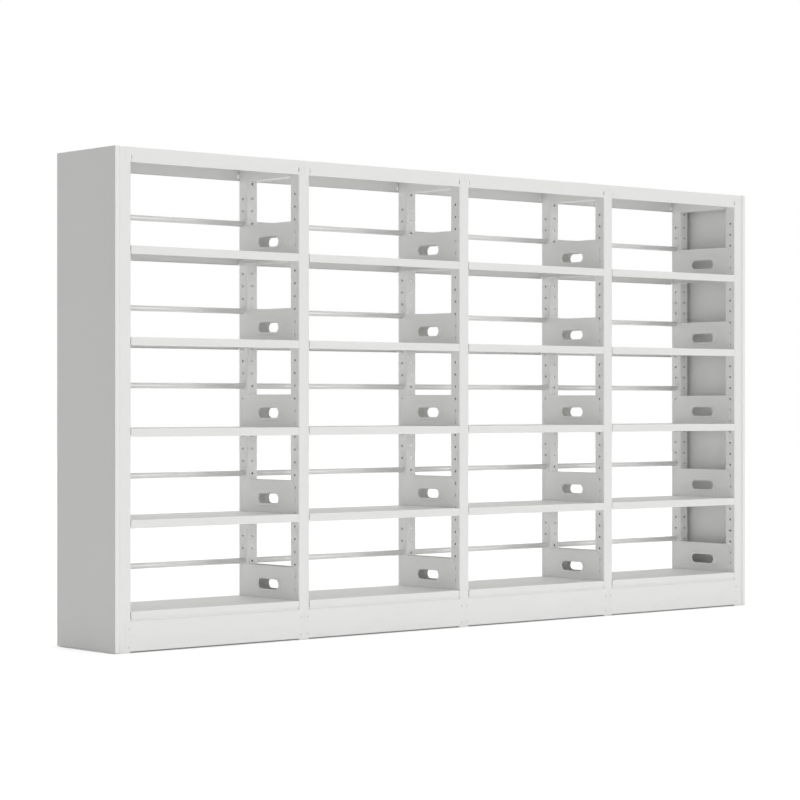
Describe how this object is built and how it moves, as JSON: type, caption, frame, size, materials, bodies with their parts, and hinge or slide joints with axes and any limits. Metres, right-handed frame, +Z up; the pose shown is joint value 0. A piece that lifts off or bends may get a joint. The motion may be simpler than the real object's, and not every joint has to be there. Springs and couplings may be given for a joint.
{
  "type": "double sided library shelving",
  "caption": "Free-standing double sided steel library shelving: a row of open bays between perforated uprights, with lift-off shelves, side boards, stop rods, kick plates and end panels.",
  "frame": {"origin": "on the floor at the middle of the footprint", "axes": "+X runs along the row of bays, to the right seen from the front; +Y points to the rear, where the stop rods are; +Z is up"},
  "size_m": [3.6956, 0.4244, 2],
  "materials": {
    "frame_paint": "semi-matt white powder coat",
    "panel_paint": "semi-matt white powder coat",
    "shelf_paint": "semi-matt white powder coat",
    "board_paint": "semi-matt white powder coat",
    "rod_paint": "semi-matt white powder coat",
    "screw_paint": "white painted screw heads",
    "plastic": "white moulded plastic"
  },
  "bodies": {
    "frame": {"base_shelf_bay1": "shelf_paint", "base_shelf_bay2": "shelf_paint", "base_shelf_bay3": "shelf_paint", "base_shelf_bay4": "shelf_paint", "cross_ties": "frame_paint", "end_panel_left": "panel_paint", "end_panel_right": "panel_paint", "foot_pads": "plastic", "kick_plate_front_bay1": "frame_paint", "kick_plate_front_bay2": "frame_paint", "kick_plate_front_bay3": "frame_paint", "kick_plate_front_bay4": "frame_paint", "kick_plate_rear_bay1": "frame_paint", "kick_plate_rear_bay2": "frame_paint", "kick_plate_rear_bay3": "frame_paint", "kick_plate_rear_bay4": "frame_paint", "kick_plate_screws": "screw_paint", "rod_end_plugs": "plastic", "side_boards_left_bay1": "board_paint", "side_boards_left_bay2": "board_paint", "side_boards_left_bay3": "board_paint", "side_boards_left_bay4": "board_paint", "side_boards_right_bay1": "board_paint", "side_boards_right_bay2": "board_paint", "side_boards_right_bay3": "board_paint", "side_boards_right_bay4": "board_paint", "stop_rods_bay1": "rod_paint", "stop_rods_bay2": "rod_paint", "stop_rods_bay3": "rod_paint", "stop_rods_bay4": "rod_paint", "top_cover_bay1": "frame_paint", "top_cover_bay2": "frame_paint", "top_cover_bay3": "frame_paint", "top_cover_bay4": "frame_paint", "upright_front_1": "frame_paint", "upright_front_2": "frame_paint", "upright_front_3": "frame_paint", "upright_front_4": "frame_paint", "upright_front_5": "frame_paint", "upright_rear_1": "frame_paint", "upright_rear_2": "frame_paint", "upright_rear_3": "frame_paint", "upright_rear_4": "frame_paint", "upright_rear_5": "frame_paint"},
    "shelf_bay1_level1": {"shelf_bay1_level1": "shelf_paint"},
    "shelf_bay1_level2": {"shelf_bay1_level2": "shelf_paint"},
    "shelf_bay1_level3": {"shelf_bay1_level3": "shelf_paint"},
    "shelf_bay1_level4": {"shelf_bay1_level4": "shelf_paint"},
    "shelf_bay2_level1": {"shelf_bay2_level1": "shelf_paint"},
    "shelf_bay2_level2": {"shelf_bay2_level2": "shelf_paint"},
    "shelf_bay2_level3": {"shelf_bay2_level3": "shelf_paint"},
    "shelf_bay2_level4": {"shelf_bay2_level4": "shelf_paint"},
    "shelf_bay3_level1": {"shelf_bay3_level1": "shelf_paint"},
    "shelf_bay3_level2": {"shelf_bay3_level2": "shelf_paint"},
    "shelf_bay3_level3": {"shelf_bay3_level3": "shelf_paint"},
    "shelf_bay3_level4": {"shelf_bay3_level4": "shelf_paint"},
    "shelf_bay4_level1": {"shelf_bay4_level1": "shelf_paint"},
    "shelf_bay4_level2": {"shelf_bay4_level2": "shelf_paint"},
    "shelf_bay4_level3": {"shelf_bay4_level3": "shelf_paint"},
    "shelf_bay4_level4": {"shelf_bay4_level4": "shelf_paint"}
  },
  "joints": [
    {"name": "bay1_level1_lift", "type": "slide", "parent": "frame", "child": "shelf_bay1_level1", "axis": [0, 0, 1], "range_m": [0, 0.1472]},
    {"name": "bay1_level2_lift", "type": "slide", "parent": "frame", "child": "shelf_bay1_level2", "axis": [0, 0, 1], "range_m": [0, 0.1591]},
    {"name": "bay1_level3_lift", "type": "slide", "parent": "frame", "child": "shelf_bay1_level3", "axis": [0, 0, 1], "range_m": [0, 0.1177]},
    {"name": "bay1_level4_lift", "type": "slide", "parent": "frame", "child": "shelf_bay1_level4", "axis": [0, 0, 1], "range_m": [0, 0.1298]},
    {"name": "bay2_level1_lift", "type": "slide", "parent": "frame", "child": "shelf_bay2_level1", "axis": [0, 0, 1], "range_m": [0, 0.1472]},
    {"name": "bay2_level2_lift", "type": "slide", "parent": "frame", "child": "shelf_bay2_level2", "axis": [0, 0, 1], "range_m": [0, 0.1591]},
    {"name": "bay2_level3_lift", "type": "slide", "parent": "frame", "child": "shelf_bay2_level3", "axis": [0, 0, 1], "range_m": [0, 0.1177]},
    {"name": "bay2_level4_lift", "type": "slide", "parent": "frame", "child": "shelf_bay2_level4", "axis": [0, 0, 1], "range_m": [0, 0.1298]},
    {"name": "bay3_level1_lift", "type": "slide", "parent": "frame", "child": "shelf_bay3_level1", "axis": [0, 0, 1], "range_m": [0, 0.1472]},
    {"name": "bay3_level2_lift", "type": "slide", "parent": "frame", "child": "shelf_bay3_level2", "axis": [0, 0, 1], "range_m": [0, 0.1591]},
    {"name": "bay3_level3_lift", "type": "slide", "parent": "frame", "child": "shelf_bay3_level3", "axis": [0, 0, 1], "range_m": [0, 0.1177]},
    {"name": "bay3_level4_lift", "type": "slide", "parent": "frame", "child": "shelf_bay3_level4", "axis": [0, 0, 1], "range_m": [0, 0.1298]},
    {"name": "bay4_level1_lift", "type": "slide", "parent": "frame", "child": "shelf_bay4_level1", "axis": [0, 0, 1], "range_m": [0, 0.1472]},
    {"name": "bay4_level2_lift", "type": "slide", "parent": "frame", "child": "shelf_bay4_level2", "axis": [0, 0, 1], "range_m": [0, 0.1591]},
    {"name": "bay4_level3_lift", "type": "slide", "parent": "frame", "child": "shelf_bay4_level3", "axis": [0, 0, 1], "range_m": [0, 0.1177]},
    {"name": "bay4_level4_lift", "type": "slide", "parent": "frame", "child": "shelf_bay4_level4", "axis": [0, 0, 1], "range_m": [0, 0.1298]}
  ]
}
